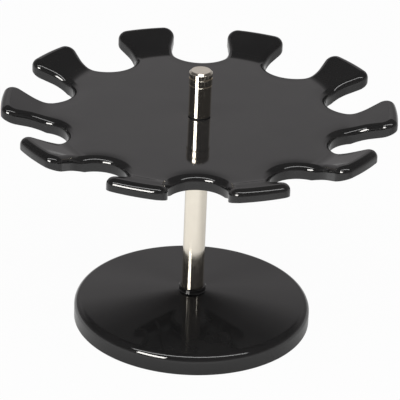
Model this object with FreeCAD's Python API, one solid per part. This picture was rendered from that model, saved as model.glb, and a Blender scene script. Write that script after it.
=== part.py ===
import FreeCAD, Part
import math
import os

os.makedirs("parts", exist_ok=True)

# Desk stamp carousel: a ten-armed plate that turns on a plated post over a weighted round base.
# Millimetres. The origin is the middle of the base on the table, and +Z runs up the post.

# Carousel plate, seen from above
arm_count = 10
tip_radius = 88.0              # post axis to the end of an arm
slot_end_radius = 13.4
slot_inset = 0.6               # arm tips in to the circle of a slot's round end
mouth_pinch = 1.6              # how much narrower a slot's mouth is than its round end
head_corner_radius = 4.8

# Carousel plate, in section
plate_top = 102.2              # height of the flat middle above the table
skin = 2.2
skirt_depth = 6.8
skirt_wall = 2.2
edge_round = 3.2               # along the whole upper outline
fold_radius = 68.0             # where the arms start to rise
fold_round = 18.0
arm_rise = 20.5                # degrees above level
rib_depth = 5.0                # from the upper face down to a rib's lower edge
rib_thickness = 1.6
rib_overlap = 0.2              # how far a rib reaches into the skirt
ring_rib_radius = 40.0

# Turning joint between plate and post
hub_radius = 10.0
hub_length = 16.0              # from the plate's upper face down to the end of the hub
bush_wall = 2.0
bush_flange_radius = 8.0
bush_flange = 1.2
running_clearance = 0.05       # radial, between the bush and the sleeve it turns on
hole_clearance = 0.2           # radial, round parts that pass through without guiding
thrust_clearance = 0.1         # axial, between faces that slide on each other
sleeve_radius = 4.0
washer_thickness = 0.8
top_washer_radius = 4.8
top_washer_thickness = 0.5
collar_flange_radius = 8.0
collar_flange = 2.0
collar_spigot_length = 6.0

# Post, tie rod and grip knob
post_radius = 5.0
post_wall = 1.0
post_fit = 0.05                # radial, where post, spigot and socket slide together
rod_radius = 2.5               # M5 thread, drawn at its outside diameter
rod_clearance = 0.1            # radial, round the rod
rod_end = 1.0                  # rod that stands out below the nut
knob_height = 21.4
knob_cap_radius = 5.2
knob_cap_height = 6.8          # from the top down to the lower groove
knob_chamfer = 0.9
groove_spacing = 3.5
groove_width = 0.5
groove_depth = 0.35
knob_thread_length = 12.0
knob_bore_spare = 1.0          # bore beyond the end of the rod

# Base shell
base_radius = 54.0
rim_height = 9.5               # table to the top of the rounded rim
rim_round = 3.9
cone_top = 14.9                # height that the sloping top reaches at the socket
base_wall = 2.2
socket_radius = 6.25           # outside of the socket that the post stands in
socket_height = 17.0           # table to the top of the socket
socket_foot_round = 0.5
socket_top_round = 0.5
socket_floor = 2.0             # solid floor under the post
post_seat_depth = 6.0
boss_radius = 9.0              # underside boss that the washer bears on
base_rib_count = 6
base_rib_thickness = 1.6

# Inside and underneath the base
foot_gap = 0.3                 # table to the bottom cover
cover_thickness = 1.6
cover_clearance = 0.25
nut_access_radius = 7.0
foot_count = 4
foot_radius = 4.5
foot_thickness = 1.4
foot_circle = 42.0
foot_recess_clearance = 0.1
ballast_radius = 44.0
ballast_bore = 14.0
ballast_thickness = 3.0
flat_washer_radius = 5.0
flat_washer_thickness = 1.0
lock_washer_radius = 4.6
lock_washer_thickness = 1.2
lock_washer_gap = 0.8
nut_across_flats = 8.0
nut_thickness = 4.0
screw_count = 3
screw_circle = 27.0
screw_head_radius = 2.75
screw_head_height = 1.7
screw_core_radius = 1.15
screw_length = 5.0
screw_recess = 3.0             # bottom cover's face up to the seat of a screw head
screw_seat = 1.2               # cover left above a screw head
screw_boss_radius = 3.2
screw_pocket_clearance = 0.6
cross_width = 0.7
cross_depth = 0.8


# Heights up the axis, each built on the one before
cover_bottom = foot_gap
cover_top = cover_bottom + cover_thickness
ballast_top = cover_top + ballast_thickness
post_bottom = socket_height - post_seat_depth
floor_bottom = post_bottom - socket_floor
flat_washer_bottom = floor_bottom - flat_washer_thickness
lock_washer_bottom = flat_washer_bottom - lock_washer_thickness
nut_bottom = lock_washer_bottom - nut_thickness
rod_bottom = nut_bottom - rod_end
hub_bottom = plate_top - hub_length
bush_bottom = hub_bottom - bush_flange
washer_top = bush_bottom - thrust_clearance
collar_top = washer_top - washer_thickness
post_top = collar_top - collar_flange
sleeve_top = plate_top + thrust_clearance
knob_bottom = sleeve_top + top_washer_thickness
knob_top = knob_bottom + knob_height
rod_top = knob_bottom + knob_thread_length
plate_floor = plate_top - skin

# Radii that follow from a fit
bush_bore = sleeve_radius + running_clearance
bush_radius = bush_bore + bush_wall
rod_hole = rod_radius + rod_clearance
spigot_radius = post_radius - post_wall - post_fit
socket_bore = post_radius + post_fit
rim_inside = base_radius - base_wall
cover_radius = rim_inside - cover_clearance
pocket_radius = screw_head_radius + screw_pocket_clearance
cup_radius = pocket_radius + screw_seat
screw_seat_bottom = cover_bottom + screw_recess
screw_seat_top = screw_seat_bottom + screw_seat

# Slots that follow from the arm tips
slot_centre_radius = tip_radius - slot_inset - slot_end_radius
mouth_width = 2 * slot_end_radius - mouth_pinch

arm_step = 2 * math.pi / arm_count
rise = math.tan(math.radians(arm_rise))
UP = FreeCAD.Vector(0, 0, 1)
CENTRE = FreeCAD.Vector(0, 0, 0)


def rounded_loop(corners):
    """Closed wire in the XZ plane. Each corner is (radius, height) or (radius, height, rounding)."""
    points = [FreeCAD.Vector(corner[0], 0, corner[1]) for corner in corners]
    ends = []
    for i, corner in enumerate(corners):
        point = points[i]
        if len(corner) == 2:
            ends.append((point, None, point))
            continue
        back = (points[i - 1] - point).normalize()
        ahead = (points[(i + 1) % len(points)] - point).normalize()
        half_angle = back.getAngle(ahead) / 2
        tangent = corner[2] / math.tan(half_angle)
        bisector = (back + ahead).normalize()
        middle = point + bisector * (corner[2] / math.sin(half_angle) - corner[2])
        ends.append((point + back * tangent, middle, point + ahead * tangent))
    edges = []
    for i, (start, middle, end) in enumerate(ends):
        if middle is not None:
            edges.append(Part.Arc(start, middle, end).toShape())
        following = ends[(i + 1) % len(ends)][0]
        if (following - end).Length > 1e-6:
            edges.append(Part.LineSegment(end, following).toShape())
    return Part.Wire(edges)


def turned(corners):
    """Solid of revolution about the post's axis."""
    return Part.Face(rounded_loop(corners)).revolve(CENTRE, UP, 360)


def cylinder(radius, bottom, top, x=0.0, y=0.0):
    return Part.makeCylinder(radius, top - bottom, FreeCAD.Vector(x, y, bottom))


def ring(outer, inner, bottom, top):
    return turned([(inner, bottom), (outer, bottom), (outer, top), (inner, top)])


def circle_places(count, radius, first_degrees):
    """Evenly spaced (x, y) places on a circle about the axis."""
    places = []
    for i in range(count):
        angle = math.radians(first_degrees) + 2 * math.pi * i / count
        places.append((radius * math.cos(angle), radius * math.sin(angle)))
    return places


def spokes(count, inner, outer, thickness, bottom, top, first_degrees):
    """Upright radial walls, evenly spaced about the axis."""
    walls = []
    for i in range(count):
        corner = FreeCAD.Vector(inner, -thickness / 2, bottom)
        wall = Part.makeBox(outer - inner, thickness, top - bottom, corner)
        wall.rotate(CENTRE, UP, first_degrees + 360.0 * i / count)
        walls.append(wall)
    return walls


def save(name, shape):
    """Writes one sub-part and reports that it is sound."""
    shape.exportStep("parts/" + name + ".step")
    print(name, "solids", len(shape.Solids), "valid", shape.isValid(), "volume", round(shape.Volume, 1))


def plate_outline(inset):
    """The ten-armed outline seen from above, drawn in from the real edge by inset.

    Each slot is a round end, two straight flanks that lean together towards the mouth, and a rounded
    head corner on each side. The arm tips are arcs about the post.
    """
    slot_radius = slot_end_radius + inset
    corner_radius = head_corner_radius - inset
    corner_across = mouth_width / 2 + head_corner_radius
    corner_along = math.sqrt((tip_radius - head_corner_radius) ** 2 - corner_across ** 2)
    gap = corner_along - slot_centre_radius
    flank = math.atan2(corner_across, gap)
    flank += math.acos((slot_end_radius + head_corner_radius) / math.hypot(gap, corner_across))
    tip = math.atan2(corner_across, corner_along)

    def on_corner(angle):
        x = corner_along + corner_radius * math.cos(angle)
        return (x, corner_across + corner_radius * math.sin(angle))

    slot_bottom = (slot_centre_radius - slot_radius, 0.0)
    slot_flank = (slot_centre_radius + slot_radius * math.cos(flank), slot_radius * math.sin(flank))
    head_flank = on_corner(flank - math.pi)
    head_middle = on_corner((flank - math.pi + tip) / 2)
    head_tip = on_corner(tip)

    def place(point, angle, side):
        x, y = point[0], point[1] * side
        return FreeCAD.Vector(
            x * math.cos(angle) - y * math.sin(angle), x * math.sin(angle) + y * math.cos(angle), 0
        )

    pieces = []
    for i in range(arm_count):
        here = math.pi / 2 + i * arm_step
        slot = [place(point, here, 1) for point in (slot_flank, head_flank, head_middle, head_tip)]
        other_side = [place(point, here, -1) for point in (slot_flank, head_flank, head_middle, head_tip)]
        next_head = place(head_tip, here + arm_step, -1)
        arm_tip = place((tip_radius - inset, 0.0), here + arm_step / 2, 1)
        pieces.append(Part.Arc(other_side[3], other_side[2], other_side[1]))
        pieces.append(Part.LineSegment(other_side[1], other_side[0]))
        pieces.append(Part.Arc(other_side[0], place(slot_bottom, here, 1), slot[0]))
        pieces.append(Part.LineSegment(slot[0], slot[1]))
        pieces.append(Part.Arc(slot[1], slot[2], slot[3]))
        pieces.append(Part.Arc(slot[3], arm_tip, next_head))
    return Part.Wire([piece.toShape() for piece in pieces])


def folded_slab(top_drop, bottom_drop):
    """Round slab, flat in the middle and rising outside the fold, between two drops below the upper face."""
    beyond = tip_radius + skirt_depth
    climb = (beyond - fold_radius) * rise
    top = plate_top - top_drop
    bottom = plate_top - bottom_drop
    return turned(
        [
            (0, bottom),
            (fold_radius, bottom),
            (beyond, bottom + climb),
            (beyond, top + climb),
            (fold_radius, top, fold_round),
            (0, top),
        ]
    )


def upper_face_height(radius):
    """Height of the plate's upper face at a radius: level, then an arc, then a straight rise."""
    angle = math.radians(arm_rise)
    start = fold_radius - fold_round * math.tan(angle / 2)
    end = start + fold_round * math.sin(angle)
    if radius <= start:
        return plate_top
    if radius <= end:
        return plate_top + fold_round - math.sqrt(fold_round ** 2 - (radius - start) ** 2)
    return plate_top + (radius - fold_radius) * rise


def carousel_plate():
    """Moulded shell with a turned-down skirt, ribs underneath and a hub for the bush."""
    tall = 2 * plate_top
    outline = plate_outline(0.0)
    shell = folded_slab(0.0, skirt_depth).common(Part.Face(outline).extrude(UP * tall)).Solids[0]
    upper_edges = []
    for edge in shell.Edges:
        middle = edge.valueAt((edge.FirstParameter + edge.LastParameter) / 2)
        on_top = abs(middle.z - upper_face_height(math.hypot(middle.x, middle.y))) < 0.01
        plan_point = Part.Vertex(FreeCAD.Vector(middle.x, middle.y, 0))
        if on_top and plan_point.distToShape(outline)[0] < 0.001:
            upper_edges.append(edge)
    shell = shell.makeFillet(edge_round, upper_edges)
    inner_prism = Part.Face(plate_outline(skirt_wall)).extrude(UP * tall)
    shell = shell.cut(folded_slab(skin, skirt_depth + skin).common(inner_prism))
    rib_space = folded_slab(skin / 2, rib_depth).common(
        Part.Face(plate_outline(skirt_wall - rib_overlap)).extrude(UP * tall)
    )
    low = plate_top - rib_depth
    high = plate_top + tip_radius * rise
    outer = tip_radius - skirt_wall + rib_overlap
    first_arm = 90 + math.degrees(arm_step / 2)
    ribs = spokes(arm_count, hub_radius - skin, outer, rib_thickness, low, high, first_arm)
    ring_rib = ring(ring_rib_radius + rib_thickness, ring_rib_radius, low, plate_top)
    hub = cylinder(hub_radius, hub_bottom, plate_top - skin / 2)
    shell = shell.fuse([rib_space.common(Part.makeCompound(ribs)), ring_rib.common(rib_space), hub])
    shell = shell.cut(cylinder(bush_radius, hub_bottom, plate_floor))
    shell = shell.cut(cylinder(sleeve_radius + hole_clearance, hub_bottom, plate_top + skin))
    return shell.removeSplitter().Solids[0]


def hub_bush():
    """Flanged plain bush, pushed into the hub from below."""
    return turned(
        [
            (bush_bore, bush_bottom),
            (bush_flange_radius, bush_bottom),
            (bush_flange_radius, hub_bottom),
            (bush_radius, hub_bottom),
            (bush_radius, plate_floor),
            (bush_bore, plate_floor),
        ]
    )


def grip_knob():
    """Turned knob with a slightly wider grooved cap, screwed on the rod's upper end."""
    cap_bottom = knob_top - knob_cap_height
    lower_groove = cap_bottom
    upper_groove = lower_groove + groove_spacing
    knob = turned(
        [
            (0, knob_bottom),
            (post_radius, knob_bottom),
            (post_radius, cap_bottom),
            (knob_cap_radius, cap_bottom),
            (knob_cap_radius, knob_top - knob_chamfer),
            (knob_cap_radius - knob_chamfer, knob_top),
            (0, knob_top),
        ]
    )
    for groove in (lower_groove, upper_groove):
        knob = knob.cut(ring(knob_cap_radius + 1, post_radius - groove_depth, groove, groove + groove_width))
    bore_top = rod_top + knob_bore_spare
    return knob.cut(cylinder(rod_radius, knob_bottom, bore_top))


def bearing_collar():
    """Flange that carries the plate, with a spigot that centres it in the post tube."""
    return turned(
        [
            (rod_hole, post_top - collar_spigot_length),
            (spigot_radius, post_top - collar_spigot_length),
            (spigot_radius, post_top),
            (collar_flange_radius, post_top),
            (collar_flange_radius, collar_top),
            (rod_hole, collar_top),
        ]
    )


def cone_height(radius):
    """Height of the base's sloping top at a radius."""
    return rim_height + (base_radius - radius) * (cone_top - rim_height) / (base_radius - socket_radius)


def base_shell():
    """Round moulded cover: rounded rim, shallow cone, and a socket for the post over a boss."""
    inside_corner = cone_height(rim_inside) - base_wall
    outside = [
        (base_radius, cover_bottom),
        (base_radius, rim_height, rim_round),
        (socket_radius, cone_top, socket_foot_round),
        (socket_radius, socket_height, socket_top_round),
    ]
    shell = turned(
        outside
        + [
            (socket_bore, socket_height),
            (socket_bore, post_bottom),
            (rod_hole, post_bottom),
            (rod_hole, floor_bottom),
            (boss_radius, floor_bottom),
            (boss_radius, cone_height(boss_radius) - base_wall),
            (rim_inside, inside_corner, rim_round - base_wall),
            (rim_inside, cover_bottom),
        ]
    )
    rib_inner = boss_radius - base_wall / 2
    rib_outer = rim_inside + base_wall / 2
    ribs = spokes(base_rib_count, rib_inner, rib_outer, base_rib_thickness, ballast_top, cone_top, 0)
    under_skin = turned(
        [
            (rib_inner, ballast_top),
            (rib_outer, ballast_top),
            (rib_outer, inside_corner),
            (rib_inner, cone_height(rib_inner) - base_wall / 2),
        ]
    )
    bosses = []
    pilot_holes = []
    boss_top = cone_height(screw_circle) - base_wall / 2
    screw_top = screw_seat_bottom + screw_length
    for x, y in circle_places(screw_count, screw_circle, 90):
        bosses.append(cylinder(screw_boss_radius, screw_seat_top, boss_top, x, y))
        pilot_holes.append(cylinder(screw_core_radius, screw_seat_top, screw_top, x, y))
    shell = shell.fuse([under_skin.common(Part.makeCompound(ribs))] + bosses)
    return shell.cut(Part.makeCompound(pilot_holes)).removeSplitter().Solids[0]


def ballast_disc():
    """Flat steel weight between the shell's ribs and the bottom cover, cleared for the screw cups."""
    disc = ring(ballast_radius, ballast_bore, cover_top, ballast_top)
    for x, y in circle_places(screw_count, screw_circle, 90):
        disc = disc.cut(cylinder(cup_radius + hole_clearance, cover_top, ballast_top, x, y))
    return disc


def bottom_cover():
    """Flat cover inside the rim, with sunk cups for the screws, recesses for the feet and a nut opening."""
    cover = ring(cover_radius, nut_access_radius, cover_bottom, cover_top)
    for x, y in circle_places(screw_count, screw_circle, 90):
        cover = cover.fuse(cylinder(cup_radius, cover_bottom, screw_seat_top, x, y))
        cover = cover.cut(cylinder(pocket_radius, cover_bottom, screw_seat_bottom, x, y))
        through = cylinder(screw_core_radius + hole_clearance, screw_seat_bottom, screw_seat_top, x, y)
        cover = cover.cut(through)
    for x, y in circle_places(foot_count, foot_circle, 45):
        cover = cover.cut(cylinder(foot_radius + foot_recess_clearance, cover_bottom, foot_thickness, x, y))
    return cover


def cover_screw():
    """Pan-head self-tapping screw with a cross recess, drawn head down at its height in the base."""
    head_bottom = screw_seat_bottom - screw_head_height
    screw = turned(
        [
            (0, head_bottom),
            (screw_head_radius, head_bottom, screw_head_height / 2),
            (screw_head_radius, screw_seat_bottom),
            (screw_core_radius, screw_seat_bottom),
            (screw_core_radius, screw_seat_bottom + screw_length),
            (0, screw_seat_bottom + screw_length),
        ]
    )
    long_side = screw_head_radius * 1.2
    for width, length in ((cross_width, long_side), (long_side, cross_width)):
        corner = FreeCAD.Vector(-width / 2, -length / 2, head_bottom)
        screw = screw.cut(Part.makeBox(width, length, cross_depth, corner))
    return screw


def cover_screws():
    screws = []
    for x, y in circle_places(screw_count, screw_circle, 90):
        screw = cover_screw()
        screw.translate(FreeCAD.Vector(x, y, 0))
        screws.append(screw)
    return Part.makeCompound(screws)


def hex_nut():
    """Thin hexagon nut with chamfered corners."""
    corner_radius = nut_across_flats / math.sqrt(3)
    corners = []
    for x, y in circle_places(6, corner_radius, 0):
        corners.append(FreeCAD.Vector(x, y, nut_bottom))
    blank = Part.Face(Part.makePolygon(corners + corners[:1])).extrude(UP * nut_thickness)
    chamfer = corner_radius - nut_across_flats / 2
    envelope = turned(
        [
            (0, nut_bottom),
            (nut_across_flats / 2, nut_bottom),
            (corner_radius, nut_bottom + chamfer / 2),
            (corner_radius, lock_washer_bottom),
            (0, lock_washer_bottom),
        ]
    )
    return blank.common(envelope).cut(cylinder(rod_radius, nut_bottom, lock_washer_bottom))


def lock_washer():
    """Split spring washer."""
    washer = ring(lock_washer_radius, rod_hole, lock_washer_bottom, flat_washer_bottom)
    corner = FreeCAD.Vector(0, -lock_washer_gap / 2, lock_washer_bottom)
    return washer.cut(Part.makeBox(2 * lock_washer_radius, lock_washer_gap, lock_washer_thickness, corner))


save("base_shell", base_shell())
save("ballast_disc", ballast_disc())
save("bottom_cover", bottom_cover())
save("cover_screws", cover_screws())
for number, (x, y) in enumerate(circle_places(foot_count, foot_circle, 45), 1):
    save("foot_pad_" + str(number), cylinder(foot_radius, 0.0, foot_thickness, x, y))
save("tie_rod", cylinder(rod_radius, rod_bottom, rod_top))
save("hex_nut", hex_nut())
save("lock_washer", lock_washer())
save("flat_washer", ring(flat_washer_radius, rod_hole, flat_washer_bottom, floor_bottom))
save("post_tube", ring(post_radius, post_radius - post_wall, post_bottom, post_top))
save("bearing_collar", bearing_collar())
save("lower_thrust_washer", ring(bush_flange_radius, sleeve_radius + hole_clearance, collar_top, washer_top))
save("spacer_sleeve", ring(sleeve_radius, rod_hole, collar_top, sleeve_top))
save("upper_thrust_washer", ring(top_washer_radius, rod_hole, sleeve_top, knob_bottom))
save("grip_knob", grip_knob())
save("carousel_plate", carousel_plate())
save("hub_bush", hub_bush())
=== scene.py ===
# %% [markdown]
# # A desk carousel for rubber stamps
#
# The real object is a black plate with ten arms that turns on a plated post, over a heavy round base.
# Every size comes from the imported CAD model. This lesson gives the model its finished surfaces: true
# rounds on every edge, turned metal, a cut thread, and materials with their own grain and wear.

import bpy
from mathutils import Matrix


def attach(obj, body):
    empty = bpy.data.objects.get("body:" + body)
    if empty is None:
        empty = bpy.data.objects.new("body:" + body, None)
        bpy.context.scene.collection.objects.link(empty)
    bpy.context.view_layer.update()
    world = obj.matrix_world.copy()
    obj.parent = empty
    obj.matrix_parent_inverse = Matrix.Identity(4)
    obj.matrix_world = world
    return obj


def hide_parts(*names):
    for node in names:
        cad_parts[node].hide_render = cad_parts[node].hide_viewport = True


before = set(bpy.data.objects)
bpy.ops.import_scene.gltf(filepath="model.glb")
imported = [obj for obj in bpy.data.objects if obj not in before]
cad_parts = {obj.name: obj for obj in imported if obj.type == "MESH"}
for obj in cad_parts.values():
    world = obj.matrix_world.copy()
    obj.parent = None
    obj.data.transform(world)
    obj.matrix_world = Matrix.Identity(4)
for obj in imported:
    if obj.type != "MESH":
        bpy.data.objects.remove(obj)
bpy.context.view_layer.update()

# %% Tools of the lesson
import math

import bpy
import numpy as np
from mathutils import Matrix, Vector

mm = 0.001          # shapes are worked out in millimetres, and meshes hold metres
weld_steps = 1e4    # points are joined on a grid of this many steps to the millimetre

# %% [markdown]
# ## How a surface is made
#
# A glossy part is judged by its reflections, and these follow the normals. A Bevel modifier would round
# the edges too, but its normals are guesses. Here every surface is a patch: a grid of points that a
# formula gives, together with the exact normal at each point. Patches that meet share their points, and
# each face corner keeps the normal of its own patch, so a round stays smooth and a sharp edge stays sharp.

# %% Join patches into one closed mesh
def joined(name, patches):
    """One object from patches of (points, normals), each on a grid of rows by columns.

    A quad takes four neighbours of the grid, and turns over where its normal points against the patch's.
    Points that round to the same ten-thousandth of a millimetre are one vertex. A quad with two of its
    corners in the same place is a triangle, and one that has shrunk further is left out.
    """
    points, normals, quads, count = [], [], [], 0
    for grid, normal in patches:
        rows, columns = grid.shape[:2]
        index = np.arange(rows * columns).reshape(rows, columns)
        four = np.stack([index[:-1, :-1], index[1:, :-1], index[1:, 1:], index[:-1, 1:]], -1).reshape(-1, 4)
        flat, lit = grid.reshape(-1, 3), normal.reshape(-1, 3)
        across = np.cross(flat[four[:, 2]] - flat[four[:, 0]], flat[four[:, 3]] - flat[four[:, 1]])
        if np.sum(across * lit[four].mean(1)) < 0:
            four = four[:, ::-1]
        points.append(flat)
        normals.append(lit)
        quads.append(four + count)
        count += len(flat)
    points, normals, quads = np.vstack(points), np.vstack(normals), np.vstack(quads)
    key = np.round(points * weld_steps).astype(np.int64)
    _, first, vertex = np.unique(key, axis=0, return_index=True, return_inverse=True)
    vertex = vertex.reshape(-1)
    same = vertex[quads] == np.roll(vertex[quads], -1, axis=1)
    whole = quads[same.sum(1) == 0]
    thirds = same.sum(1) == 1
    three = quads[thirds][~same[thirds]].reshape(-1, 3)
    mesh = bpy.data.meshes.new(name)
    mesh.from_pydata((points[first] * mm).tolist(), [], vertex[whole].tolist() + vertex[three].tolist())
    mesh.polygons.foreach_set("use_smooth", np.ones(len(mesh.polygons), bool))
    lit = normals[np.concatenate([whole.reshape(-1), three.reshape(-1)])]
    lit /= np.linalg.norm(lit, axis=1, keepdims=True)
    mesh.normals_split_custom_set(lit.tolist())
    piece = bpy.data.objects.new(name, mesh)
    bpy.context.scene.collection.objects.link(piece)
    print(name, "faces", len(mesh.polygons), "open edges", open_edges(vertex[whole], vertex[three]))
    return piece


def open_edges(whole, three):
    """Edges that aren't shared by two faces which run along them in opposite directions."""
    runs = [np.stack([f, np.roll(f, -1, axis=1)], -1).reshape(-1, 2) for f in (whole, three) if len(f)]
    runs = np.vstack(runs)
    size = runs.max() + 1
    forward, back = runs[:, 0] * size + runs[:, 1], runs[:, 1] * size + runs[:, 0]
    return int(np.sum(~np.isin(forward, back)))


# %% [markdown]
# ## Turned parts
#
# The post, the knob, the base and most of the small hardware come off a lathe, or out of a mould that
# did. Blender's Spin tool can make them from a drawn profile. Here the profile is a list of corners with
# their roundings, which becomes straight runs and arcs, and then turns about the axis.

# %% Profiles and turning
def circle(angle):
    """Points of the unit circle: (cos a, sin a)."""
    return np.stack([np.cos(angle), np.sin(angle)], -1)


def around(angle, wide, height):
    """Points about the upright axis: (wide cos a, wide sin a, height), on the grid of all three."""
    angle, wide, height = np.broadcast_arrays(angle, wide, height)
    return np.stack([wide * np.cos(angle), wide * np.sin(angle), height], -1)


def profile(corners, closed=True, steps=6):
    """Straight runs and arcs through corners of (radius, height) or (radius, height, rounding).

    The material is on the left of the walk. A run's normal is its direction turned to the right. An arc
    touches both runs at rounding times the tangent of half the turn from its corner, and its points are
    its centre plus or minus rounding times the normal, which turns evenly from one run to the next.
    """
    at = np.array([corner[:2] for corner in corners], float)
    rounding = np.array([corner[2] if len(corner) > 2 else 0.0 for corner in corners])
    ahead = np.roll(at, -1, axis=0) - at
    ahead /= np.linalg.norm(ahead, axis=1, keepdims=True)
    before = np.roll(ahead, 1, axis=0)
    crossed = before[:, 0] * ahead[:, 1] - before[:, 1] * ahead[:, 0]
    turn = np.arctan2(crossed, np.sum(before * ahead, axis=1))
    trim = (rounding * np.tan(np.abs(turn) / 2))[:, None]
    start, end = at + ahead * trim, np.roll(at, -1, axis=0) - ahead * np.roll(trim, -1, axis=0)
    side = np.stack([ahead[:, 1], -ahead[:, 0]], -1)
    runs = []
    for i in range(len(at) if closed else len(at) - 1):
        j = (i + 1) % len(at)
        runs.append((np.stack([start[i], end[i]]), np.stack([side[i], side[i]])))
        if rounding[j] > 0:
            bearing = np.arctan2(side[i, 1], side[i, 0]) + np.linspace(0, turn[j], steps + 1)
            normal = circle(bearing)
            reach = rounding[j] * np.sign(turn[j])
            runs.append((end[i] - reach * side[i] + reach * normal, normal))
    return runs


def turned(corners, columns=96, closed=True, steps=6, middle=(0.0, 0.0)):
    """Patches of a profile turned about an upright axis: middle + (r cos a, r sin a, z)."""
    angle = np.linspace(0, 2 * np.pi, columns + 1)
    patches = []
    for points, normals in profile(corners, closed, steps):
        swept, facing = (around(angle, line[:, :1], line[:, 1:]) for line in (points, normals))
        patches.append((swept + np.array([*middle, 0.0]), facing))
    return patches


print("a rounded ring has", len(turned([(1, 0, 0.1), (2, 0, 0.1), (2, 1, 0.1), (1, 1, 0.1)])), "patches")

# %% [markdown]
# ## The upper face of the plate
#
# The plate is level in the middle. Its arms bend up at a fold near the slots and rise straight to their
# tips, so a stamp hung in a slot leans a little outwards. The height depends only on the distance from
# the post, which makes it one short formula.

# %% Height and slope of the upper face
plate_top, tip_radius, fold_radius, fold_round = 102.2, 88.0, 68.0, 18.0
arm_rise = math.radians(20.5)
fold_start = fold_radius - fold_round * math.tan(arm_rise / 2)
skin, skirt_depth, skirt_wall, edge_round = 2.2, 6.8, 2.2, 3.2


def plate_height(radius):
    """Level, then an arc of fold_round, then a straight rise at arm_rise."""
    bent = np.clip(radius - fold_start, 0, fold_round * math.sin(arm_rise))
    beyond = np.maximum(radius - fold_start - fold_round * math.sin(arm_rise), 0)
    return plate_top + fold_round - np.sqrt(fold_round**2 - bent**2) + beyond * math.tan(arm_rise)


def skirt_foot(radius):
    """Lower edge of the skirt: the upper face's two straight lines, moved down, with a sharp fold."""
    return plate_top - skirt_depth + np.maximum(radius - fold_radius, 0) * math.tan(arm_rise)


print("arm tips stand at", round(float(plate_height(tip_radius)), 2), "mm")

# %% [markdown]
# ## The outline of the plate
#
# Between two arms is a slot: a round end that takes the neck of a stamp, two flanks that lean together,
# and a rounded head corner on each side of the mouth. Half a slot, from the middle of its round end to
# the middle of the next arm, is enough, because the rest is its mirror image and its turned copies.

# %% Half of a slot's outline
slots, slot_round, head_round = 10, 13.4, 4.8
slot_inset, mouth_pinch = 0.6, 1.6      # arm tips in to the slot's circle, and round end less mouth
slot_centre = tip_radius - slot_inset - slot_round
mouth_half = slot_round - mouth_pinch / 2
arm_half_angle = math.pi / slots
end_points, flank_points, head_points = 45, 3, 19
across_columns = 8                      # columns of the grid from a slot's edge to the arm's middle


def half_slot(inset):
    """Plan points and outward directions of half an outline, drawn in from the real edge by inset.

    Round end: centre + (radius + inset) times the unit circle. Flank: a straight line that touches both
    circles. Head corner: centre + (radius - inset) times the unit circle. Tip: an arc about the post.
    """
    across = mouth_half + head_round
    along = math.sqrt((tip_radius - head_round) ** 2 - across**2)
    gap = along - slot_centre
    flank = math.atan2(across, gap) + math.acos((slot_round + head_round) / math.hypot(gap, across))
    tip = math.atan2(across, along)
    end = np.linspace(math.pi, flank, end_points)
    corner = np.linspace(flank - math.pi, tip, head_points)
    arm = np.linspace(tip, arm_half_angle, across_columns + 1)[1:]
    round_end = np.array([slot_centre, 0.0]) + (slot_round + inset) * circle(end)
    head = np.array([along, across]) + (head_round - inset) * circle(corner)
    share = np.linspace(0, 1, flank_points + 2)[1:-1, None]
    straight = round_end[-1] * (1 - share) + head[0] * share
    points = np.vstack([round_end, straight, head, (tip_radius - inset) * circle(arm)])
    lean = np.repeat(-circle(end[-1:]), flank_points, axis=0)
    return points, np.vstack([-circle(end), lean, circle(corner), circle(arm)])


head_row = end_points + flank_points + head_points - 1
print("half a slot has", len(half_slot(0.0)[0]), "points")

# %% [markdown]
# The skin isn't quite flat. It shrank as it cooled, and dips by half a millimetre towards the inner
# end of every slot. The eye can't see such a dip, but the reflection of a dark ceiling bends into it.

# %% The upper face with its dips
dip_width, dip_round = 9.4, 90.0


def face(plan, dipped):
    """Height and normal at plan points of the half pattern.

    At a distance d from the slot's round end the dip is f (dip_width - d)^2 / (2 dip_round), where f goes
    from one at the inner end to nothing at the mouth, as (1 - cos of the bearing from the mouth) / 2.
    dipped is 1 for the dips and 0 for none. The normal is (-slope, 1), shortened to one, where the slope
    adds the arm's rise, how the dip deepens along d, and how f changes round the slot.
    """
    distance = np.linalg.norm(plan, axis=-1, keepdims=True)
    sine = np.clip((distance - fold_start) / fold_round, 0, math.sin(arm_rise))
    from_slot = plan - np.array([slot_centre, 0.0])
    away = np.linalg.norm(from_slot, axis=-1, keepdims=True)
    outwards = from_slot / away
    inner = (1 - outwards[..., :1]) / 2 * dipped
    depth = np.clip(dip_width - (away - slot_round), 0, dip_width)
    cosine, sideways = outwards[..., :1], outwards[..., 1:]
    swing = np.concatenate([-(sideways**2), cosine * sideways], -1) / 2 * dipped
    slope = plan / distance * sine / np.sqrt(1 - sine**2)
    slope += inner * depth / dip_round * outwards - swing * depth**2 / (2 * dip_round) / away
    normal = np.concatenate([-slope, 1 + 0 * sine], -1)
    normal /= np.linalg.norm(normal, axis=-1, keepdims=True)
    return (plate_height(distance) - inner * depth**2 / (2 * dip_round))[..., 0], normal


print("dip at a slot's inner end", round(float(dip_width**2 / (2 * dip_round)), 2), "mm")

# %% [markdown]
# ## Rounding the edge as a ball would
#
# The mould's edge is rounded as if a ball had rolled along inside it, touching the upper face and the
# wall. The ball's centre is easy to place, and the round is the part of the ball between its two touch
# points. The same helper gives the small round inside, where the wall meets the ceiling of the shell.

# %% The rolled round and the sheet that it borders
touch_rounds = 12       # each one brings the touch point at least five times nearer
level_radius = 48.0     # inside this the face is level and its rows are far apart


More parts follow.
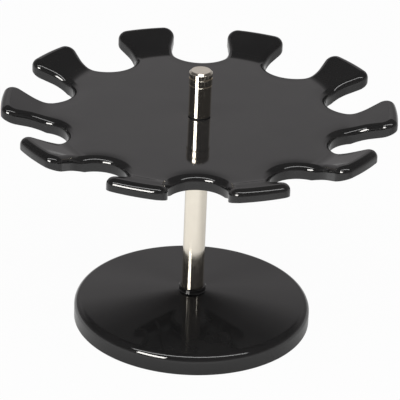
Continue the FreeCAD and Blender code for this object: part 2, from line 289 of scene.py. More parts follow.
def rolled(inset, radius, drop, dipped, steps):
    """Arc from the face to the wall of a ball of this radius, whose centre is drawn in by inset.

    The face is the upper face moved down by drop. The touch point is the centre plus the radius times the
    face's normal there, and repeating that finds it. The normals turn evenly from the face's to the
    wall's: sin((1-s)w)/sin(w) of the first, sin(sw)/sin(w) of the other.
    """
    plan, away = half_slot(inset)
    touch = plan
    for _ in range(touch_rounds):
        touch = plan + radius * face(touch, dipped)[1][:, :2]
    height, top = face(touch, dipped)
    wall = np.column_stack([away, 0 * height])
    wide = np.arccos(np.sum(top * wall, axis=1))[None, :, None]
    share = np.linspace(0, 1, steps + 1)[:, None, None]
    normal = (np.sin((1 - share) * wide) * top + np.sin(share * wide) * wall) / np.sin(wide)
    return np.column_stack([plan, height - drop - radius * top[:, 2]]) + radius * normal, normal


def sheet(border, inner_radius, drop, dipped):
    """Upper face moved down by drop, from inner_radius out to the border, over half an arm's step.

    Each row is an arc about the post, from the border's point at that distance to the arm's middle.
    """
    plan = border[: head_row + 1, :2]
    nearest = np.linalg.norm(plan[0])
    level = np.linspace(inner_radius, level_radius, 4)[:-1]
    inner = np.concatenate([level, np.linspace(level_radius, nearest, 9)[:-1]])
    distance = np.concatenate([inner, np.linalg.norm(plan, axis=1)])[:, None]
    start = np.concatenate([0 * inner, np.arctan2(plan[:, 1], plan[:, 0])])[:, None]
    angle = start + (arm_half_angle - start) * np.linspace(0, 1, across_columns + 1)
    grid = np.stack([distance * np.cos(angle), distance * np.sin(angle)], -1)
    height, normal = face(grid, dipped)
    return np.concatenate([grid, height[..., None] - drop], -1), normal


ceiling_round = 0.5
upper_round = rolled(edge_round, edge_round, drop=0.0, dipped=1, steps=10)
inner_round = rolled(skirt_wall + ceiling_round, ceiling_round, drop=skin, dipped=0, steps=4)
print("edge round", upper_round[0].shape, "inner round", inner_round[0].shape)

# %% [markdown]
# ## The skirt and its lip
#
# Under the round, the wall runs straight down to a lip. The lip has small rounds of its own, because a
# mould never leaves a razor edge, and they catch a thin line of light along the bottom of the plate.

# %% Half of one slot's skirt
lip = 0.4
down = np.array([0.0, 0.0, -1.0])


def ribbon(rows, normals):
    """Patch through rows of points, straight from row to row, with one normal or a row of them for each."""
    return np.stack(rows), np.stack([normal + 0 * rows[0] for normal in normals])


def lip_arc(inset, inwards, steps=4):
    """Quarter round under the wall: centre + lip (cos b times outwards - sin b times up)."""
    plan, away = half_slot(inset)
    foot = skirt_foot(np.linalg.norm(plan, axis=1)) + lip
    sign = -1 if inwards else 1
    middle = plan - sign * lip * away
    bend = np.linspace(0, np.pi / 2, steps + 1)[:, None, None]
    normal = np.concatenate([sign * np.cos(bend) * away, -np.sin(bend) + 0 * away[None, :, :1]], -1)
    return np.column_stack([middle, foot]) + lip * normal, normal


outer_lip, inner_lip = lip_arc(0.0, False), lip_arc(skirt_wall, True)
away = upper_round[1][-1]
half_skirt = [
    ribbon([upper_round[0][-1], outer_lip[0][0]], [away, away]),
    outer_lip,
    ribbon([outer_lip[0][-1], inner_lip[0][-1]], [down, down]),
    inner_lip,
    ribbon([inner_lip[0][0], inner_round[0][-1]], [-away, -away]),
    (inner_round[0], -inner_round[1]),
]
print("skirt patches", len(half_skirt))

# %% [markdown]
# ## Ten slots from one half
#
# The half pattern is mirrored across the slot's middle line, and both halves are turned ten times about
# the post. An Array modifier could repeat them, but then the seams would need welding. Here the copies
# are arrays of points, and the join closes them.

# %% Repeat the half pattern, and add the hub
def all_round(patches, first=math.pi / 2, count=slots, mirror=True):
    """Copies of patches turned about the post in equal steps, with their mirror images if asked."""
    made = []
    for side in (1.0, -1.0) if mirror else (1.0,):
        for angle in first + 2 * np.pi * np.arange(count) / count:
            cosine, sine = np.cos(angle), np.sin(angle)
            turn = np.array([[cosine, sine, 0], [-side * sine, side * cosine, 0], [0, 0, 1]])
            made += [(points @ turn, normals @ turn) for points, normals in patches]
    return made


hub_radius, hub_bottom, bush_radius, sleeve_hole = 10.0, 86.2, 6.05, 4.2
plate_floor = plate_top - skin
round_columns = 2 * slots * across_columns      # so that the hub's points meet the sheet's
upper_sheet = sheet(upper_round[0][0], sleeve_hole, drop=0.0, dipped=1)
under_points, under_normals = sheet(inner_round[0][0], hub_radius, drop=skin, dipped=0)
half_plate = [upper_sheet, upper_round, (under_points, -under_normals)] + half_skirt
hub = turned(
    [
        (sleeve_hole, plate_top),
        (sleeve_hole, plate_floor),
        (bush_radius, plate_floor),
        (bush_radius, hub_bottom, 0.3),
        (hub_radius, hub_bottom, 0.6),
        (hub_radius, plate_floor),
    ],
    columns=round_columns,
    closed=False,
)
print("patches of the plate", len(half_plate) * 2 * slots + len(hub))

# %% [markdown]
# ## Ribs under the plate
#
# Thin ribs stiffen the shell from below: one along each arm and one ring. They sit a little inside the
# skin, as if moulded in one piece with it, and their lower edges follow the fold as the skirt does.

# %% Ribs as boxes that follow two curves
def rib(along, low, high, thickness):
    """Closed upright wall along X: low and high give its two edges at each distance along it."""
    half = thickness / 2
    zero = 0 * along
    left_low, left_high = np.stack([along, zero + half, low], -1), np.stack([along, zero + half, high], -1)
    right_low, right_high = left_low * [1, -1, 1], left_high * [1, -1, 1]
    left, up, out = np.array([0.0, 1, 0]), np.array([0.0, 0, 1]), np.array([1.0, 0, 0])
    sides = [
        ribbon([left_low, left_high], [left, left]),
        ribbon([right_low, right_high], [-left, -left]),
        ribbon([left_low, right_low], [-up, -up]),
        ribbon([left_high, right_high], [up, up]),
    ]
    for k, normal in ((0, -out), (-1, out)):
        rows = [np.stack([left_low[k], right_low[k]]), np.stack([left_high[k], right_high[k]])]
        sides.append(ribbon(rows, [normal, normal]))
    return sides


rib_depth, rib_thickness, ring_rib_radius = 5.0, 1.6, 40.0
rib_overlap = 0.2       # how far a rib reaches into the skirt's wall
rib_along = np.linspace(hub_radius - skin, tip_radius - skirt_wall + rib_overlap, 40)
rib_foot = skirt_foot(rib_along) + skirt_depth - rib_depth
arm_rib = rib(rib_along, rib_foot, plate_height(rib_along) - skin / 2, rib_thickness)
ring_low, ring_high = plate_top - rib_depth, plate_top - skin / 2
ring_outer = ring_rib_radius + rib_thickness
ring_rib = turned(
    [
        (ring_rib_radius, ring_low, 0.2),
        (ring_outer, ring_low, 0.2),
        (ring_outer, ring_high),
        (ring_rib_radius, ring_high),
    ],
    columns=round_columns,
)
arm_ribs = all_round(arm_rib, math.pi / 2 + arm_half_angle, mirror=False)
plate = joined("carousel_plate_moulding", all_round(half_plate) + hub + arm_ribs + ring_rib)
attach(plate, "carousel")
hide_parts("carousel_plate")

# %% [markdown]
# ## The base
#
# The base is a round moulded cover with a soft rim, a shallow cone and a low socket round the post. It is
# hollow, with ribs and three screw bosses underneath, and a boss in the middle that the rod pulls against.

# %% Base shell
base_radius, rim_height, cone_top, base_wall = 54.0, 9.5, 14.9, 2.2
socket_radius, socket_height, socket_bore, post_bottom = 6.25, 17.0, 5.05, 11.0
rod_hole, floor_bottom, boss_radius, cover_bottom = 2.6, 9.0, 9.0, 0.3
socket_chamfer = 0.45
rim_inside = base_radius - base_wall


def cone_height(radius):
    """Straight slope from the rim's height at the outside to cone_top at the socket."""
    return rim_height + (base_radius - radius) * (cone_top - rim_height) / (base_radius - socket_radius)


inside_corner = cone_height(rim_inside) - base_wall
shell = turned(
    [
        (base_radius, cover_bottom, 0.4),
        (base_radius, rim_height, 3.9),
        (socket_radius, cone_top, 0.5),
        (socket_radius, socket_height - socket_chamfer, 0.1),
        (socket_radius - socket_chamfer, socket_height, 0.1),
        (socket_bore, socket_height, 0.15),
        (socket_bore, post_bottom),
        (rod_hole, post_bottom),
        (rod_hole, floor_bottom),
        (boss_radius, floor_bottom, 0.3),
        (boss_radius, cone_height(boss_radius) - base_wall, 0.5),
        (rim_inside, inside_corner, 1.7),
        (rim_inside, cover_bottom, 0.3),
    ],
    columns=192,
    steps=12,
)
print("shell patches", len(shell))

# %% Ribs and screw bosses inside the base
ballast_top, screw_circle, screw_seat_top = 4.9, 27.0, 4.5
screw_boss_radius, pilot_radius, pilot_top = 3.2, 1.15, 8.3
rib_inner, rib_outer = boss_radius - base_wall / 2, rim_inside + base_wall / 2
base_along = np.array([rib_inner, rib_outer])
base_high = np.array([cone_height(rib_inner) - base_wall / 2, inside_corner])
base_rib = rib(base_along, ballast_top + 0 * base_along, base_high, rib_thickness)
boss_top = cone_height(screw_circle) - base_wall / 2
boss_walk = [
    (0, pilot_top),
    (pilot_radius, pilot_top),
    (pilot_radius, screw_seat_top),
    (screw_boss_radius, screw_seat_top, 0.2),
    (screw_boss_radius, boss_top),
    (0, boss_top),
]
bosses = []
for bearing in np.radians([90.0, 210.0, 330.0]):
    bosses += turned(boss_walk, columns=40, middle=screw_circle * circle(bearing))
base = joined("base_moulding", shell + all_round(base_rib, 0.0, 6, mirror=False) + bosses)
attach(base, "base")
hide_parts("base_shell")

# %% [markdown]
# ## Post and grip knob
#
# The post is a plated tube. Above the plate the knob goes on at the same diameter, so the two look like
# one bar, with a slightly wider cap, two fine grooves and a chamfer. The edges of the grooves are broken
# by a few hundredths of a millimetre, which is what makes them glint.

# %% Post tube and knob
def placed(name, patches, node):
    """One piece that stands for a CAD node of the base, on the base's body, with the node hidden."""
    piece = joined(name, patches)
    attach(piece, "base")
    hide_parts(node)
    return piece


post_radius, tube_bore, rod_radius = 5.0, 4.0, 2.5
post_top, knob_bottom, knob_top, knob_hole_top = 82.1, 102.8, 124.2, 115.8
cap_radius, cap_chamfer, groove_radius, groove_width, groove_edge = 5.2, 0.9, 4.65, 0.5, 0.04
lower_groove, upper_groove = 117.4, 120.9
tube = turned(
    [
        (tube_bore, post_bottom, 0.15),
        (post_radius, post_bottom, 0.2),
        (post_radius, post_top, 0.2),
        (tube_bore, post_top, 0.15),
    ],
    columns=128,
)
post = placed("post_bar", tube, "post_tube")
grooved = [
    (0, knob_hole_top),
    (rod_radius, knob_hole_top),
    (rod_radius, knob_bottom, 0.2),
    (post_radius, knob_bottom, 0.15),
    (post_radius, lower_groove - groove_edge),
    (post_radius - groove_edge, lower_groove),
    (groove_radius, lower_groove),
    (groove_radius, lower_groove + groove_width),
    (cap_radius, lower_groove + groove_width, 0.08),
    (cap_radius, upper_groove - groove_edge),
    (cap_radius - groove_edge, upper_groove),
    (groove_radius, upper_groove),
    (groove_radius, upper_groove + groove_width),
    (cap_radius, upper_groove + groove_width, 0.08),
    (cap_radius, knob_top - cap_chamfer, 0.15),
    (cap_radius - cap_chamfer, knob_top, 0.2),
    (0, knob_top),
]
knob = placed("grip_knob_bar", turned(grooved, columns=128), "grip_knob")

# %% [markdown]
# ## Bearing stack
#
# Under the plate a steel collar sits on the post and carries the plate on a nylon washer. A sleeve runs
# up through the bush, and a thin washer on top of it is the fine dark line under the knob.

# %% Collar, sleeve, bush and washers
def ring_walk(inner, outer, bottom, top, edge):
    """Profile of a flat ring with all four edges broken by edge."""
    return [(inner, bottom, edge), (outer, bottom, edge), (outer, top, edge), (inner, top, edge)]


bearing_radius, spigot_radius, spigot_bottom = 8.0, 3.95, 76.1
collar_top, washer_top, sleeve_top = 84.1, 84.9, 102.3
sleeve_radius, top_washer_radius, bush_bore, bush_bottom = 4.0, 4.8, 4.05, 85.0
collar_walk = [
    (rod_hole, spigot_bottom, 0.1),
    (spigot_radius, spigot_bottom, 0.3),
    (spigot_radius, post_top),
    (bearing_radius, post_top, 0.3),
    (bearing_radius, collar_top, 0.3),
    (rod_hole, collar_top, 0.1),
]
collar = placed("bearing_collar_turned", turned(collar_walk), "bearing_collar")
washer_ring = turned(ring_walk(sleeve_hole, bearing_radius, collar_top, washer_top, 0.15))
washer = placed("lower_thrust_ring", washer_ring, "lower_thrust_washer")
sleeve_tube = turned(ring_walk(rod_hole, sleeve_radius, collar_top, sleeve_top, 0.1))
sleeve = placed("spacer_tube", sleeve_tube, "spacer_sleeve")
top_ring = turned(ring_walk(rod_hole, top_washer_radius, sleeve_top, knob_bottom, 0.08))
top_washer = placed("upper_thrust_ring", top_ring, "upper_thrust_washer")
bush_walk = [
    (bush_bore, bush_bottom, 0.25),
    (bearing_radius, bush_bottom, 0.25),
    (bearing_radius, hub_bottom, 0.15),
    (bush_radius, hub_bottom),
    (bush_radius, plate_floor, 0.3),
    (bush_bore, plate_floor, 0.25),
]
bush = joined("hub_bush_turned", turned(bush_walk))
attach(bush, "carousel")
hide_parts("hub_bush")

# %% [markdown]
# ## The rod with its thread, and what holds it
#
# The rod's thread is one surface of two parameters, the angle and the height. A thread is a ridge whose
# height moves up by one pitch in each turn, so its radius is a zigzag of height minus angle. A screw
# modifier would do the same from a drawn tooth, but would leave its ends open.

# %% Threaded rod
rod_bottom, rod_top, thread_length, pitch, thread_depth = 1.8, 114.8, 9.6, 0.8, 0.4
lead_in, end_wide, end_high, rows_per_pitch = 0.5, 0.4, 0.6, 10


def threaded(radius, bottom, top, length, columns=48):
    """Patches of a rod whose lower length is threaded: r = radius - depth (1 - |zigzag|) near the bottom.

    The zigzag runs once per pitch along height / pitch - angle / turn. The depth fades to nothing over
    the last pitch. The lower end has a chamfer of lead_in, and the upper one of end_wide by end_high.
    """
    rows = int(length / pitch * rows_per_pitch)
    height = np.concatenate([np.linspace(bottom, bottom + length, rows), [top - end_high, top]])[:, None]
    angle = np.linspace(0, 2 * np.pi, columns + 1)[None, :]
    phase = (height - bottom) / pitch - angle / (2 * np.pi)
    ridge = np.abs(2 * (phase - np.floor(phase + 0.5)))
    depth = thread_depth * np.clip((bottom + length - height) / pitch, 0, 1)
    wide = radius - depth * (1 - ridge)
    wide = np.minimum(wide, radius - lead_in + np.minimum(height - bottom, lead_in))
    near_top = np.minimum((top - height) * end_wide / end_high, end_wide)
    wide = np.minimum(wide, radius - end_wide + near_top)
    points = around(angle, wide, height)
    slope_up = np.gradient(wide, height[:, 0], axis=0)
    slope_round = np.gradient(wide, angle[0], axis=1)
    slope_round[:, 0] = slope_round[:, -1] = (slope_round[:, 0] + slope_round[:, -1]) / 2
    radial, tangent = around(angle, 1.0, 0 * wide), around(angle + np.pi / 2, 1.0, 0 * wide)
    normal = radial - (slope_round / wide)[..., None] * tangent + slope_up[..., None] * down
    ends = []
    for k, up in ((0, -1.0), (-1, 1.0)):
        middle = 0 * points[k] + [0.0, 0, float(height[k, 0])]
        ends.append(ribbon([points[k], middle], [np.array([0.0, 0, up])] * 2))
    return [(points, normal)] + ends


thread = threaded(rod_radius, rod_bottom, rod_top, thread_length)
rod = placed("tie_rod_threaded", thread, "tie_rod")

# %% [markdown]
# The nut's six flats are cut from a cone, which leaves the curved edges that every real nut has. As a
# surface of angle and height, its radius is the smaller of the hexagon's and the cone's.

# %% Nut and washers under the base
nut_flats, nut_bottom, nut_top = 8.0, 2.8, 6.8
split_top, split_radius, split_gap = 8.0, 4.6, 0.8
flat_top, flat_radius = 9.0, 5.0
cone_slope = 2.0        # the cone that cuts the flats widens by this much for each step up


def hexagon_nut(flats, bore, bottom, top, columns=144, rows=24):
    """r = the smaller of flats / 2 / cos(angle to the nearest flat) and a cone at the lower end.

    The cone's radius is flats / 2 at the bottom and grows by cone_slope times the height above it.
    """
    angle = np.linspace(0, 2 * np.pi, columns + 1)
    to_flat = np.mod(angle, np.pi / 3) - np.pi / 6
    corner = flats / math.sqrt(3)
    cone_top_rise = (corner - flats / 2) / cone_slope
    height = np.concatenate([bottom + cone_top_rise * np.linspace(0, 1, rows), [top]])[:, None]
    cone = flats / 2 + (height - bottom) * cone_slope
    wide = np.minimum(flats / 2 / np.cos(to_flat), cone)
    on_cone = (wide >= cone - 1e-9)[..., None]
    flat = around(angle - to_flat, 1.0, 0 * wide)
    tilted = around(angle, cone_slope, 0 * wide - 1) / math.hypot(cone_slope, 1)
    points, low, high = around(angle, wide, height), around(angle, bore, bottom), around(angle, bore, top)
    inwards = -around(angle, 1.0, 0.0)
    return [
        (points, np.where(on_cone, tilted, flat)),
        ribbon([points[0], low], [down, down]),
        ribbon([points[-1], high], [-down, -down]),
        ribbon([low, high], [inwards, inwards]),
    ]


nut_body = hexagon_nut(nut_flats, rod_radius, nut_bottom, nut_top)
nut = placed("hex_nut_cut", nut_body, "hex_nut")
flat_ring = turned(ring_walk(rod_hole, flat_radius, split_top, flat_top, 0.15))
flat_washer = placed("flat_washer_stamped", flat_ring, "flat_washer")


def split_ring(inner, outer, bottom, top, gap):
    """A square bar bent round the axis: four edges of (r cos a, r sin a, z), with a gap at their ends."""
    half = math.asin(gap / 2 / outer)
    angle = np.linspace(half, 2 * np.pi - half, 97)
    outwards = around(angle, 1.0, 0.0)
    corners = ((inner, bottom), (outer, bottom), (outer, top), (inner, top))
    rows = [around(angle, radius, height) for radius, height in corners]
    sides = [
        ribbon([rows[0], rows[1]], [down, down]),
        ribbon([rows[1], rows[2]], [outwards, outwards]),
        ribbon([rows[2], rows[3]], [-down, -down]),
        ribbon([rows[3], rows[0]], [-outwards, -outwards]),
    ]
    for k, sign in ((0, 1.0), (-1, -1.0)):
        normal = sign * np.array([math.sin(angle[k]), -math.cos(angle[k]), 0.0])
        low, high = np.stack([rows[0][k], rows[1][k]]), np.stack([rows[3][k], rows[2][k]])
        sides.append(ribbon([low, high], [normal, normal]))
    return sides


split = split_ring(rod_hole, split_radius, nut_top, split_top, split_gap)
spring_washer = placed("lock_washer_split", split, "lock_washer")

# %% [markdown]
# ## Feet
#
# Four rubber pads stand a little proud of the cover, so that the base grips the desk. Each is a low disc
# with softly rounded edges.

# %% Foot pads
foot_circle, foot_radius, foot_height = 42.0, 4.5, 1.4
foot_walk = [(0, 0.0), (foot_radius, 0.0, 0.45), (foot_radius, foot_height, 0.1), (0, foot_height)]
feet = []
for number, bearing in enumerate(np.radians([45.0, 135.0, 225.0, 315.0]), 1):
    pad = turned(foot_walk, columns=56, middle=foot_circle * circle(bearing))
    feet.append(placed(f"foot_pad_{number}_rubber", pad, f"foot_pad_{number}"))

# %% [markdown]
# ## Materials
#
# Each finish is a Principled shader with its own grain. All patterns read Object coordinates, which stay
# with the piece in every view and pose. The helpers below keep the node code short.

# %% Helpers for nodes
def node_adder(tree):
    """The function that adds a node to this tree, sets it up, and links or sets its inputs."""

    def add(kind, inputs=None, **settings):
        """New node of this kind: a socket in inputs is linked, and anything else is set."""
        node = tree.nodes.new(kind)
        for key, value in settings.items():
            setattr(node, key, value)
        for key, value in (inputs or {}).items():
            if isinstance(value, bpy.types.NodeSocket):
                tree.links.new(value, node.inputs[key])
            else:
                node.inputs[key].default_value = value
        return node

    return add


def finish(name, **sockets):
    """New material with plain numbers on its shader's own sockets, as (material, add, link)."""
    material = bpy.data.materials.new(name)
    material.use_nodes = True
    tree = material.node_tree
    shader = tree.nodes["Principled BSDF"]
    for socket, value in sockets.items():
        shader.inputs[socket.replace("_", " ")].default_value = value

    def link(value, socket):
        """Feed the shader's socket."""
        tree.links.new(value, shader.inputs[socket])

    return material, node_adder(tree), link


def ramp(add, value, low, high, out_low, out_high):
    """Value from low to high becomes out_low to out_high, and stops there."""
    inputs = {"Value": value, "From Min": low, "From Max": high, "To Min": out_low, "To Max": out_high}
    return add("ShaderNodeMapRange", inputs).outputs["Result"]


def maths(add, operation, first, second):
    """The sum, product or larger of two values, by the name of a Math node's operation."""
    return add("ShaderNodeMath", {0: first, 1: second}, operation=operation).outputs[0]


mix_first, mix_second, mix_result = 6, 7, 2     # the colour sockets of a Mix node, by their numbers


def blend_colours(add, share, first, second):
    """The first colour where share is nothing, and the second where it is one."""
    first, second = (c if isinstance(c, bpy.types.NodeSocket) else (*c, 1.0) for c in (first, second))
    node = add("ShaderNodeMix", {"Factor": share, mix_first: first, mix_second: second}, data_type="RGBA")
    return node.outputs[mix_result]


def object_noise(add, scale, detail=4.0, stretch=(1.0, 1.0, 1.0)):
    """Noise on Object coordinates, in cycles per metre, longer along the axes with a small stretch."""
    place = add("ShaderNodeTexCoord").outputs["Object"]
    mapped = add("ShaderNodeMapping", {"Vector": place, "Scale": stretch}).outputs["Vector"]
    return add("ShaderNodeTexNoise", {"Vector": mapped, "Scale": scale, "Detail": detail}).outputs["Fac"]


def relief(add, height, depth, under=None):
    """Normal of a relief, depth metres from its lowest to its highest, on top of another if given."""
    inputs = {"Height": height, "Strength": 1.0, "Distance": depth}
    if under is not None:
        inputs["Normal"] = under
    return add("ShaderNodeBump", inputs).outputs[0]


def dress(material, *pieces):
    """Give the pieces this material."""
    for piece in pieces:
        piece.data.materials.append(material)
    print(material.name, "on", ", ".join(piece.name for piece in pieces))


print("helpers ready")

# %% [markdown]
# The black moulding is polished, so almost all that it shows is reflected. Its own colour hardly matters,
# and its finish does: faint smears, a few fine hairs from wiping, a slow ripple that bends the reflected
# edges a little, and a far finer orange peel.

# %% Gloss black moulding
ripple_depth, peel_depth = 0.000008, 0.0000003


def gloss_black():
    """Roughness is smear + hairs, and the relief is peel over ripple."""
    material, add, link = finish("gloss_black_moulding", IOR=1.49)
    tint = ramp(add, object_noise(add, 55.0), 0.35, 0.65, 0.0, 1.0)
    link(blend_colours(add, tint, (0.020, 0.0197, 0.020), (0.025, 0.0245, 0.0245)), "Base Color")
    smear = ramp(add, object_noise(add, 30.0, 6.0), 0.45, 0.75, 0.035, 0.10)
    hairs = ramp(add, object_noise(add, 1.0, 3.0, (60.0, 2200.0, 400.0)), 0.66, 0.74, 0.0, 0.12)
    link(maths(add, "ADD", smear, hairs), "Roughness")
    ripple = relief(add, object_noise(add, 70.0, 1.0), ripple_depth)
    link(relief(add, object_noise(add, 1400.0, 2.0), peel_depth, ripple), "Normal")
    return material


dress(gloss_black(), plate, base)

# %% [markdown]
# Nickel is a warm, bright metal. The post and the knob were turned before they were plated, so fine rings
# run round them, and they smear each reflection along the bar. A noise of one number, the distance from
# the axis plus the height, makes rings on the sides and on the flat ends alike.

# %% Nickel plate
rings_per_metre, ring_depth = 5200.0, 0.0000002


def bright_nickel():
    """Roughness is that of the rings + smear. The tangent is up minus outwards: along the bar on its
    side, and towards the axis on its ends."""
    material, add, link = finish("bright_nickel_plate", Metallic=1.0, Anisotropic=0.9)
    tint = ramp(add, object_noise(add, 120.0), 0.35, 0.65, 0.0, 1.0)
    link(blend_colours(add, tint, (0.86, 0.80, 0.69), (0.82, 0.76, 0.655)), "Base Color")
    place = add("ShaderNodeTexCoord").outputs["Object"]
    height = add("ShaderNodeSeparateXYZ", {0: place}).outputs["Z"]
    level = add("ShaderNodeVectorMath", {0: place, 1: (1.0, 1.0, 0.0)}, operation="MULTIPLY").outputs[0]
    radius = add("ShaderNodeVectorMath", {0: level}, operation="LENGTH").outputs["Value"]
    walk = {"W": maths(add, "ADD", radius, height), "Scale": rings_per_metre, "Detail": 3.0}
    rings = add("ShaderNodeTexNoise", walk, noise_dimensions="1D").outputs["Fac"]
    smear = ramp(add, object_noise(add, 260.0, 5.0), 0.4, 0.7, 0.0, 0.03)
    link(maths(add, "ADD", ramp(add, rings, 0.3, 0.7, 0.06, 0.09), smear), "Roughness")
    outwards = add("ShaderNodeVectorMath", {0: level}, operation="NORMALIZE").outputs[0]
    along = add("ShaderNodeVectorMath", {0: (0.0, 0.0, 1.0), 1: outwards}, operation="SUBTRACT")
    link(along.outputs[0], "Tangent")
    link(relief(add, rings, ring_depth), "Normal")
    return material


dress(bright_nickel(), post, knob, collar)

# %% [markdown]
# The pieces underneath are seldom seen, but they have their finishes too: clouded zinc, milled steel,
# rubber, and three plain plastics. These differ only in numbers, so one recipe makes them all. The ballast,
# the cover and its screws are the CAD meshes, which take their material in their own slots.

# %% Zinc, ballast steel, rubber and the plain plastics
def grained(name, dark, light, mottle, rough, grain, depth, **sockets):
    """A finish with a mottled colour, uneven roughness between the two of rough, and a fine grain.

    mottle and grain are in cycles per metre, and depth is the grain's in metres.
    """
    material, add, link = finish(name, **sockets)
    clouds = ramp(add, object_noise(add, mottle, 5.0), 0.35, 0.65, 0.0, 1.0)
    link(blend_colours(add, clouds, dark, light), "Base Color")
    link(ramp(add, object_noise(add, mottle * 2.5, 4.0), 0.3, 0.7, *rough), "Roughness")
    link(relief(add, object_noise(add, grain, 3.0), depth), "Normal")
    return material


zinc = grained(
    "zinc_plated_steel", (0.52, 0.53, 0.55), (0.66, 0.65, 0.60),
    mottle=900.0, rough=(0.25, 0.42), grain=4000.0, depth=0.000004, Metallic=1.0,
)
mill = grained(
    "mill_steel", (0.16, 0.155, 0.15), (0.26, 0.25, 0.24),
    mottle=220.0, rough=(0.45, 0.65), grain=2500.0, depth=0.00002, Metallic=1.0,
)
rubber = grained(
    "black_rubber", (0.018, 0.018, 0.018), (0.03, 0.03, 0.029),
    mottle=500.0, rough=(0.7, 0.88), grain=5000.0, depth=0.00003,
)
matte = grained(
    "matte_black_cover", (0.016, 0.016, 0.017), (0.024, 0.024, 0.024),
    mottle=140.0, rough=(0.42, 0.58), grain=3500.0, depth=0.00002,
)
nylon = grained(
    "black_nylon", (0.03, 0.03, 0.03), (0.045, 0.045, 0.045),
    mottle=400.0, rough=(0.35, 0.5), grain=3000.0, depth=0.000005,
)
acetal = grained(
    "white_acetal", (0.70, 0.69, 0.65), (0.77, 0.76, 0.73),
    mottle=300.0, rough=(0.28, 0.4), grain=3000.0, depth=0.000004,
)
dress(zinc, sleeve, rod, nut, flat_washer, spring_washer)
dress(nylon, washer, top_washer)
dress(acetal, bush)
dress(rubber, *feet)
for node, material in (("ballast_disc", mill), ("bottom_cover", matte), ("cover_screws", zinc)):
    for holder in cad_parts[node].material_slots:
        holder.material = material
print("materials", len(bpy.data.materials))

# %% [markdown]
# ## Floor, light and camera
#
# The object stands on a plain white table that runs into a white background. Black gloss shows its
# surroundings more than itself, so the light is built as a photographer would: a broad white floor, a
# soft backdrop that fades upwards, a dark ceiling, and two soft boxes that draw the lines along the edges.
#
# The camera sees the floor white, and what is left of its own shading keeps the object's shadow. In
# reflections its white is painted: a painted light makes it white towards the front left and half as bright
# on the right, and a painted shade darkens it close to the base, where the object's shadow would fall.

# %% Floor
reach, shine = 6.0, 0.97                    # half the floor's width, and how much of its white is its own
shade_from, shade_to = 0.054, 0.072         # distances from the axis between which the base's painted shade ends
right_edge, left_edge = -0.05, 0.055        # where the painted light of the mirrored floor is at half, and where it is white
towards_light = (-0.7, -0.7, 0.0)
floor_mesh = bpy.data.meshes.new("table_surface")
corners = [(-reach, -reach, 0), (reach, -reach, 0), (reach, reach, 0), (-reach, reach, 0)]
floor_mesh.from_pydata(corners, [], [(0, 1, 2, 3)])
floor = bpy.data.objects.new("table_surface", floor_mesh)
bpy.context.scene.collection.objects.link(floor)
table_colour = (0.82, 0.82, 0.81, 1.0)
pale, add, _ = finish("pale_table", Base_Color=table_colour, Roughness=0.9, Specular_IOR_Level=0.0)
place = add("ShaderNodeTexCoord").outputs["Object"]
away = add("ShaderNodeVectorMath", {0: place}, operation="LENGTH").outputs["Value"]
# painted shade: in reflections the floor's own white falls to 0.45 close to the base
painted_floor_shade = ramp(add, away, shade_from, shade_to, 0.45, 1.0)
toward = add("ShaderNodeVectorMath", {0: place, 1: towards_light}, operation="DOT_PRODUCT").outputs["Value"]
# painted light: in reflections the floor's own white is brighter towards the front left
lit = ramp(add, toward, right_edge, left_edge, 0.5, 1.0)
path = add("ShaderNodeLightPath").outputs
mirrored = maths(add, "MAXIMUM", path["Is Glossy Ray"], path["Is Transmission Ray"])
mirrored = maths(add, "MULTIPLY", mirrored, maths(add, "MULTIPLY", painted_floor_shade, lit))
seen = maths(add, "MAXIMUM", path["Is Camera Ray"], mirrored)
nodes = pale.node_tree.nodes
plain, white = nodes["Principled BSDF"].outputs[0], add("ShaderNodeEmission").outputs[0]
over = add("ShaderNodeMixShader", {0: maths(add, "MULTIPLY", seen, shine), 1: plain, 2: white}).outputs[0]
pale.node_tree.links.new(over, nodes["Material Output"].inputs["Surface"])
floor_mesh.materials.append(pale)
print("floor is", 2 * reach, "m wide")

# %% [markdown]
# The world is white for the camera. For light and reflections it is a soft room. Behind the object stands
# a backdrop that is brightest at about 26 degrees up, dims a little to the right, and ends in a dark
# ceiling. In front, above the camera, the room darkens from the horizon up.

# %% World
room_tint = (1.0, 0.965, 0.975)
backdrop = [(0, 0.36), (18, 0.40), (23, 0.54), (29, 0.555), (31, 0.44)]
backdrop += [(34, 0.25), (38, 0.11), (45, 0.085), (90, 0.09)]
room = [(0, 0.5), (8, 0.3), (16, 0.15), (30, 0.10), (60, 0.10), (90, 0.09)]
world = bpy.data.worlds.new("soft_room")
bpy.context.scene.world = world
world.use_nodes = True
add = node_adder(world.node_tree)
direction = add("ShaderNodeTexCoord").outputs["Generated"]
rightwards, backwards, upwards = add("ShaderNodeSeparateXYZ", {0: direction}).outputs


def fade(stops):
    """Grey by the sine of the elevation, through stops of (elevation in degrees, grey)."""
    node = add("ShaderNodeValToRGB", {0: upwards})
    elements = node.color_ramp.elements
    while len(elements) < len(stops):
        elements.new(0.5)
    for element, (degrees, grey) in zip(elements, stops):
        element.position = max(0.0, math.sin(math.radians(degrees)))
        element.color = (*(grey * part for part in room_tint), 1.0)
    return node.outputs[0]


behind, before = fade(backdrop), fade(room)
dimming = ramp(add, rightwards, -0.05, 0.25, 1.0, 0.84)
behind = add("ShaderNodeVectorMath", {0: behind, "Scale": dimming}, operation="SCALE").outputs[0]
all_round_room = blend_colours(add, ramp(add, backwards, 0.45, 0.8, 0.0, 1.0), before, behind)
by_camera = add("ShaderNodeLightPath").outputs["Is Camera Ray"]
background = world.node_tree.nodes["Background"].inputs["Color"]
world.node_tree.links.new(blend_colours(add, by_camera, all_round_room, (1.0, 1.0, 1.0)), background)
print("world", world.name)

# %% [markdown]
# Two soft boxes draw the bright lines. The key stands to the left of the camera and is seen in the knob
# and along the rim. The bar hangs overhead and runs left to right, and it draws the thin line on every
# upper edge.

# %% Soft boxes
box_aim = Vector((0, 0, 0.09))


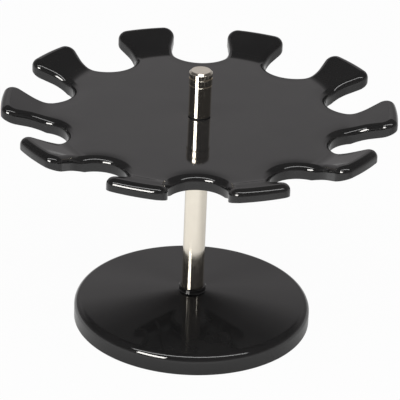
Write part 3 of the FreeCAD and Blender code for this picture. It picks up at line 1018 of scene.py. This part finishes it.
def heading(azimuth, elevation):
    """Unit vector of a look: +Y turned to the right by azimuth, and down by elevation, in degrees."""
    a, e = math.radians(azimuth), math.radians(elevation)
    return Vector((math.sin(a) * math.cos(e), math.cos(a) * math.cos(e), -math.sin(e)))


def soft_box(name, azimuth, elevation, distance, width, height, radiance, colour, diffuse):
    """Area light that faces the object, at an azimuth from the camera's side, positive to the left.

    A one-sided area light of power P and area A has the radiance P / (pi A).
    """
    light = bpy.data.lights.new(name, "AREA")
    light.shape, light.size, light.size_y = "RECTANGLE", width, height
    light.energy = radiance * math.pi * width * height
    light.color = colour
    box = bpy.data.objects.new(name, light)
    back = -heading(azimuth, elevation)
    facing = back.to_track_quat("Z", "Y").to_matrix().to_4x4()
    box.matrix_world = Matrix.Translation(box_aim + back * distance) @ facing
    box.visible_diffuse = diffuse
    bpy.context.scene.collection.objects.link(box)
    return box


key = soft_box(
    "key_box", azimuth=37, elevation=22, distance=2.0, width=0.92, height=0.62,
    radiance=28.0, colour=(1.0, 0.98, 0.94), diffuse=False,
)
bar = soft_box(
    "overhead_bar", azimuth=0, elevation=63, distance=1.6, width=3.0, height=0.25,
    radiance=7.5, colour=(1.0, 1.0, 1.0), diffuse=True,
)
print("lights", key.name, bar.name)

# %% [markdown]
# The camera was matched to the plate, the post and the base together. It looks down at 27 degrees from
# 1.2 metres away, with a slight roll. The small shift keeps the object where it sits in the picture.

# %% Camera
azimuth, elevation, distance, roll = 0.5773, 26.8319, 1.1975, math.radians(-2.3219)
aim_left, aim_down = 0.0099, 0.0367         # degrees from the pivot to the middle of the view
pivot = Vector((0, 0, 0.060))
look_from = pivot - heading(azimuth, elevation) * distance
forward = heading(azimuth - aim_left, elevation + aim_down)
turn = math.radians(azimuth - aim_left)
right = Vector((math.cos(turn), -math.sin(turn), 0))
up = right.cross(forward)
axis_x = right * math.cos(roll) - up * math.sin(roll)
axis_y = right * math.sin(roll) + up * math.cos(roll)
lens = bpy.data.cameras.new("product_camera")
lens.sensor_width, lens.lens = 36.0, 238.97
lens.shift_x, lens.shift_y = 0.0115, 0.0050
lens.clip_start, lens.clip_end = 0.05, 50.0
camera = bpy.data.objects.new("product_camera", lens)
axes = Matrix((axis_x, axis_y, -forward)).transposed().to_4x4()
camera.matrix_world = Matrix.Translation(look_from) @ axes
bpy.context.scene.collection.objects.link(camera)
bpy.context.scene.camera = camera
bpy.context.scene.view_settings.view_transform = "Standard"
print("camera at", tuple(round(v, 3) for v in look_from))
